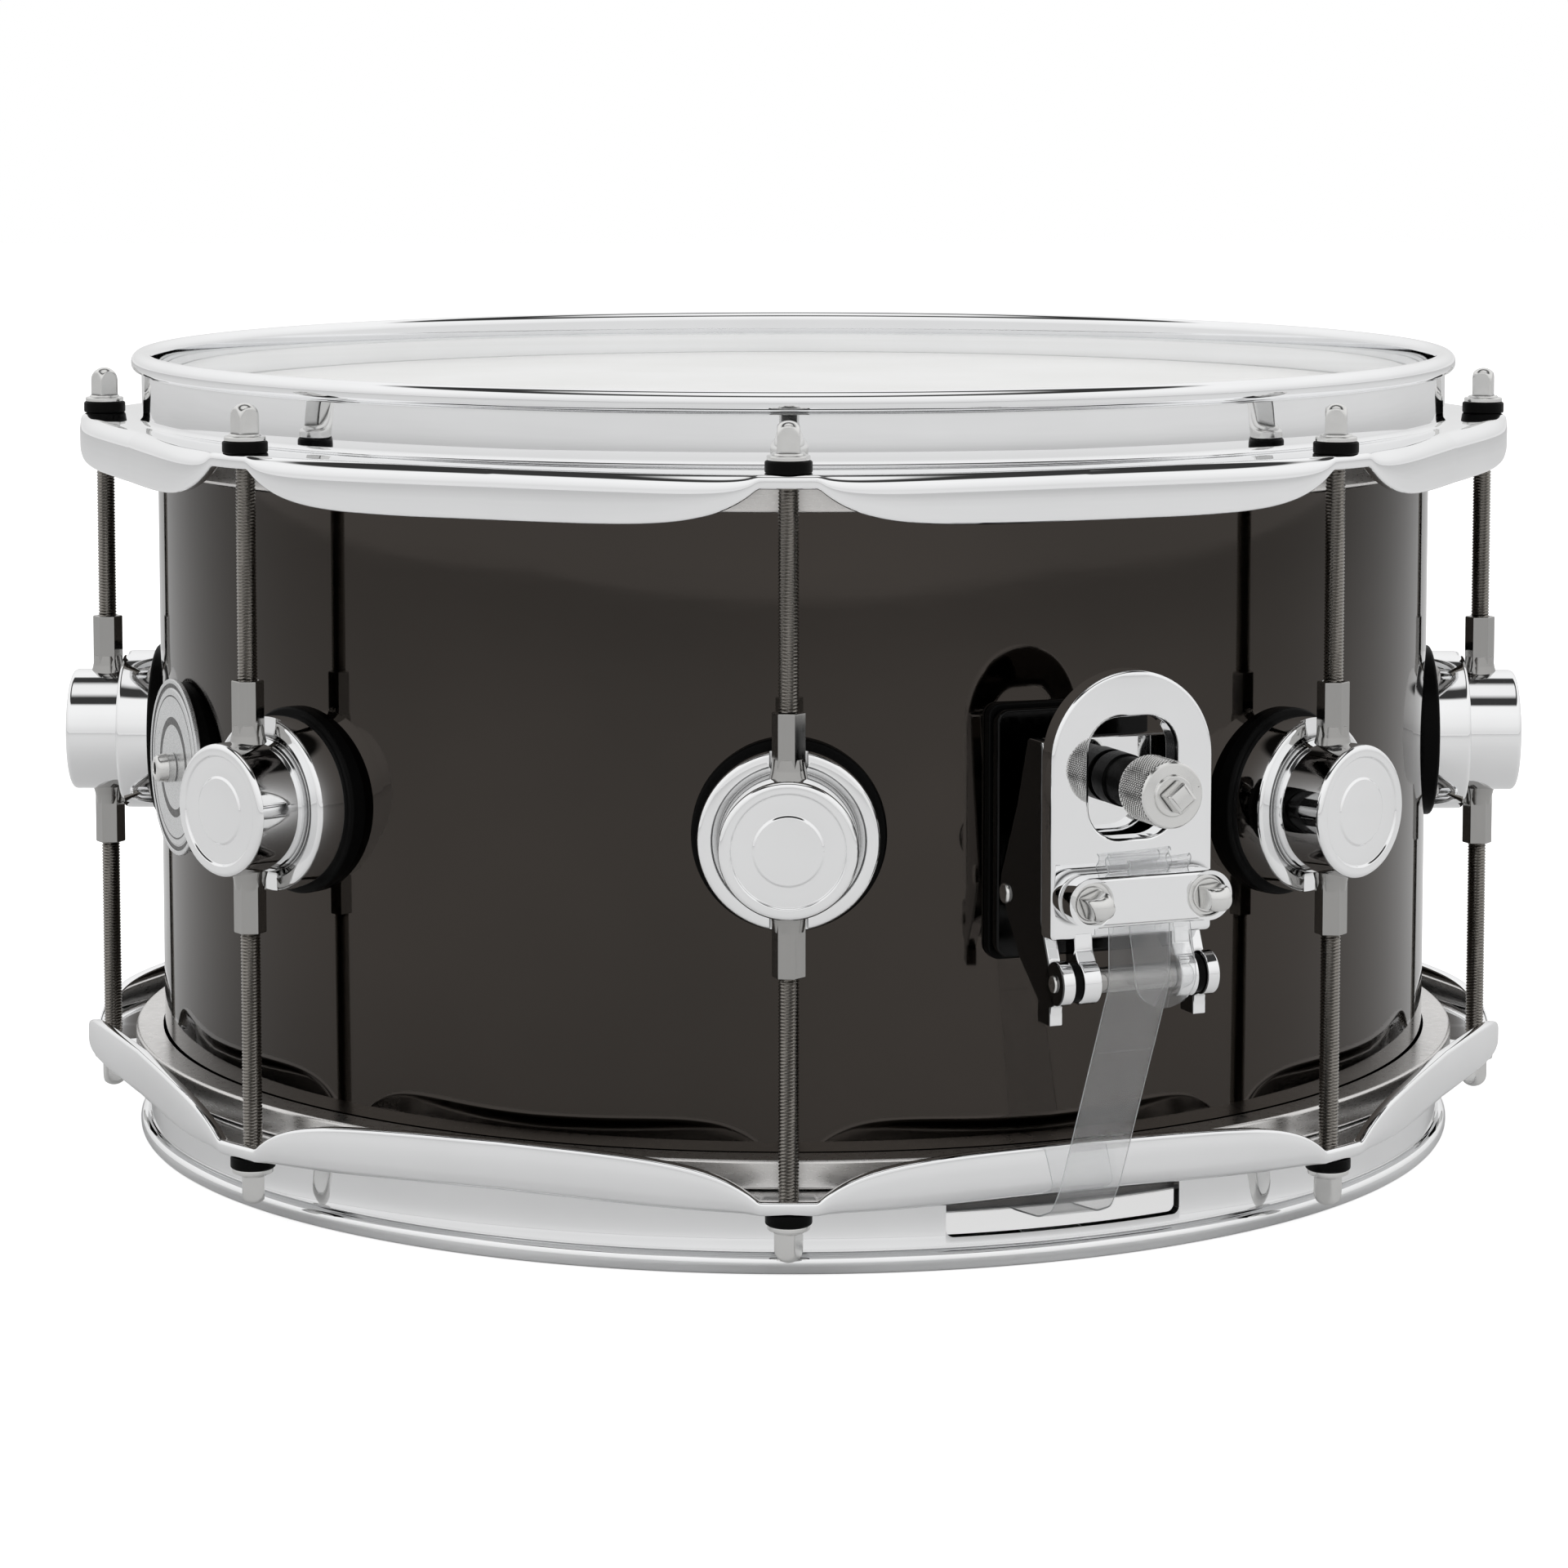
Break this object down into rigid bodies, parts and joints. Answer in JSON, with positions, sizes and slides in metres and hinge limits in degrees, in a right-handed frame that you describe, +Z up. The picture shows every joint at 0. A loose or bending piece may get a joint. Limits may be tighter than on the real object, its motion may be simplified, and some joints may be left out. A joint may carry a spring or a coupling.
{
  "type": "snare drum",
  "caption": "Metal-shell snare drum with flanged hoops, tube lugs, tension rods, coated head, wires and a lever throw-off.",
  "frame": {"origin": "on the drum axis, in the plane of the lower rim that the drum stands on", "axes": "+Z up along the drum axis towards the batter head, -Y through the front lug, throw-off 22.5 degrees from -Y towards +X"},
  "size_m": [0.3782, 0.3976, 0.2018],
  "materials": {
    "nickel_shell": "black nickel plate, polished",
    "chrome_hoop": "bright chrome plate",
    "chrome_cast": "chrome on die casting",
    "satin_nickel": "satin nickel",
    "rod_steel": "oiled threaded steel",
    "zinc_steel": "zinc plate",
    "black_nylon": "moulded",
    "gasket_rubber": "moulded",
    "coated_film": "sprayed white coating on polyester",
    "clear_film": "clear polyester",
    "clear_strap": "clear plastic",
    "hoop_aluminium": "plain",
    "wire_steel": "drawn wire",
    "badge_metal": "plate with rings",
    "dark_steel": "black oxide"
  },
  "bodies": {
    "drum": {"shell": "nickel_shell", "batter_head": "coated_film", "batter_flesh_hoop": "hoop_aluminium", "snare_head": "clear_film", "snare_flesh_hoop": "hoop_aluminium", "batter_hoop": "chrome_hoop", "snare_hoop": "chrome_hoop", "lug_bodies": "chrome_cast", "lug_gaskets": "gasket_rubber", "lug_tubes": "satin_nickel", "batter_washers": "black_nylon", "snare_washers": "black_nylon", "badge": "badge_metal", "badge_pad": "gasket_rubber", "vent_stud": "chrome_cast", "snare_wires": "wire_steel", "snare_end_plates": "zinc_steel", "shell_screws": "zinc_steel", "shell_screw_washers": "zinc_steel", "strainer_gasket": "gasket_rubber", "strainer_base": "dark_steel", "strainer_barrel_nut": "zinc_steel", "strainer_strap": "clear_strap", "butt_gasket": "gasket_rubber", "butt_base": "chrome_cast", "butt_clamp": "chrome_cast", "butt_strap": "clear_strap"},
    "rocker": {"strainer_rocker": "chrome_cast", "strainer_pivot_pin": "satin_nickel", "strainer_hinge_pin": "satin_nickel", "strainer_hinge_sleeve": "satin_nickel", "strainer_hinge_washers": "black_nylon"},
    "lever": {"strainer_lever": "chrome_cast", "strainer_clamp": "chrome_cast"},
    "lever_screw_left": {"strainer_clamp_screw_left": "satin_nickel"},
    "lever_screw_right": {"strainer_clamp_screw_right": "satin_nickel"},
    "knob": {"strainer_knob": "chrome_cast"},
    "knob_washer": {"strainer_knob_washer": "black_nylon"},
    "butt_screw_left": {"butt_clamp_screw_left": "satin_nickel"},
    "butt_screw_right": {"butt_clamp_screw_right": "satin_nickel"},
    "batter_rod_1": {"batter_rod_1": "rod_steel"},
    "batter_rod_2": {"batter_rod_2": "rod_steel"},
    "batter_rod_3": {"batter_rod_3": "rod_steel"},
    "batter_rod_4": {"batter_rod_4": "rod_steel"},
    "batter_rod_5": {"batter_rod_5": "rod_steel"},
    "batter_rod_6": {"batter_rod_6": "rod_steel"},
    "batter_rod_7": {"batter_rod_7": "rod_steel"},
    "batter_rod_8": {"batter_rod_8": "rod_steel"},
    "snare_rod_1": {"snare_rod_1": "rod_steel"},
    "snare_rod_2": {"snare_rod_2": "rod_steel"},
    "snare_rod_3": {"snare_rod_3": "rod_steel"},
    "snare_rod_4": {"snare_rod_4": "rod_steel"},
    "snare_rod_5": {"snare_rod_5": "rod_steel"},
    "snare_rod_6": {"snare_rod_6": "rod_steel"},
    "snare_rod_7": {"snare_rod_7": "rod_steel"},
    "snare_rod_8": {"snare_rod_8": "rod_steel"}
  },
  "joints": [
    {"name": "batter_rod_1_turn", "type": "hinge", "parent": "drum", "child": "batter_rod_1", "pos_m": [0, -0.18, 0.1509], "axis": [0, 0, 1], "continuous": true},
    {"name": "snare_rod_1_turn", "type": "hinge", "parent": "drum", "child": "snare_rod_1", "pos_m": [0, -0.18, 0.0509], "axis": [0, 0, -1], "continuous": true},
    {"name": "batter_rod_2_turn", "type": "hinge", "parent": "drum", "child": "batter_rod_2", "pos_m": [0.12728, -0.12728, 0.1509], "axis": [0, 0, 1], "continuous": true},
    {"name": "snare_rod_2_turn", "type": "hinge", "parent": "drum", "child": "snare_rod_2", "pos_m": [0.12728, -0.12728, 0.0509], "axis": [0, 0, -1], "continuous": true},
    {"name": "batter_rod_3_turn", "type": "hinge", "parent": "drum", "child": "batter_rod_3", "pos_m": [0.18, 0, 0.1509], "axis": [0, 0, 1], "continuous": true},
    {"name": "snare_rod_3_turn", "type": "hinge", "parent": "drum", "child": "snare_rod_3", "pos_m": [0.18, 0, 0.0509], "axis": [0, 0, -1], "continuous": true},
    {"name": "batter_rod_4_turn", "type": "hinge", "parent": "drum", "child": "batter_rod_4", "pos_m": [0.12728, 0.12728, 0.1509], "axis": [0, 0, 1], "continuous": true},
    {"name": "snare_rod_4_turn", "type": "hinge", "parent": "drum", "child": "snare_rod_4", "pos_m": [0.12728, 0.12728, 0.0509], "axis": [0, 0, -1], "continuous": true},
    {"name": "batter_rod_5_turn", "type": "hinge", "parent": "drum", "child": "batter_rod_5", "pos_m": [0, 0.18, 0.1509], "axis": [0, 0, 1], "continuous": true},
    {"name": "snare_rod_5_turn", "type": "hinge", "parent": "drum", "child": "snare_rod_5", "pos_m": [0, 0.18, 0.0509], "axis": [0, 0, -1], "continuous": true},
    {"name": "batter_rod_6_turn", "type": "hinge", "parent": "drum", "child": "batter_rod_6", "pos_m": [-0.12728, 0.12728, 0.1509], "axis": [0, 0, 1], "continuous": true},
    {"name": "snare_rod_6_turn", "type": "hinge", "parent": "drum", "child": "snare_rod_6", "pos_m": [-0.12728, 0.12728, 0.0509], "axis": [0, 0, -1], "continuous": true},
    {"name": "batter_rod_7_turn", "type": "hinge", "parent": "drum", "child": "batter_rod_7", "pos_m": [-0.18, 0, 0.1509], "axis": [0, 0, 1], "continuous": true},
    {"name": "snare_rod_7_turn", "type": "hinge", "parent": "drum", "child": "snare_rod_7", "pos_m": [-0.18, 0, 0.0509], "axis": [0, 0, -1], "continuous": true},
    {"name": "batter_rod_8_turn", "type": "hinge", "parent": "drum", "child": "batter_rod_8", "pos_m": [-0.12728, -0.12728, 0.1509], "axis": [0, 0, 1], "continuous": true},
    {"name": "snare_rod_8_turn", "type": "hinge", "parent": "drum", "child": "snare_rod_8", "pos_m": [-0.12728, -0.12728, 0.0509], "axis": [0, 0, -1], "continuous": true},
    {"name": "lever_swing", "type": "hinge", "parent": "rocker", "child": "lever", "pos_m": [0.07677, -0.18533, 0.072], "axis": [0.9239, 0.3827, 0], "range_deg": [0, 100], "deforming": ["strainer_strap"]},
    {"name": "rocker_tilt", "type": "hinge", "parent": "drum", "child": "rocker", "pos_m": [0.06697, -0.16168, 0.0881], "axis": [0.9239, 0.3827, 0], "range_deg": [0, 2.75]},
    {"name": "knob_travel", "type": "slide", "parent": "drum", "child": "knob_washer", "axis": [0.3827, -0.9239, 0], "range_m": [0, 0.0016]},
    {"name": "knob_turn", "type": "hinge", "parent": "knob_washer", "child": "knob", "pos_m": [0.07654, -0.18478, 0.1158], "axis": [0.3827, -0.9239, 0], "range_deg": [0, 720]},
    {"name": "lever_screw_left_turn", "type": "hinge", "parent": "lever", "child": "lever_screw_left", "pos_m": [0.06519, -0.19489, 0.0911], "axis": [0.3827, -0.9239, 0], "continuous": true},
    {"name": "lever_screw_right_turn", "type": "hinge", "parent": "lever", "child": "lever_screw_right", "pos_m": [0.09171, -0.1839, 0.0911], "axis": [0.3827, -0.9239, 0], "continuous": true},
    {"name": "butt_screw_left_turn", "type": "hinge", "parent": "drum", "child": "butt_screw_left", "pos_m": [-0.05486, 0.16994, 0.055], "axis": [-0.3827, 0.9239, 0], "continuous": true},
    {"name": "butt_screw_right_turn", "type": "hinge", "parent": "drum", "child": "butt_screw_right", "pos_m": [-0.08138, 0.15896, 0.055], "axis": [-0.3827, 0.9239, 0], "continuous": true}
  ],
  "couplings": [
    {"joint": "knob_turn", "follows": "knob_travel", "rad_per_m": 7853.2},
    {"joint": "rocker_tilt", "follows": "knob_travel", "rad_per_m": 29.995}
  ]
}
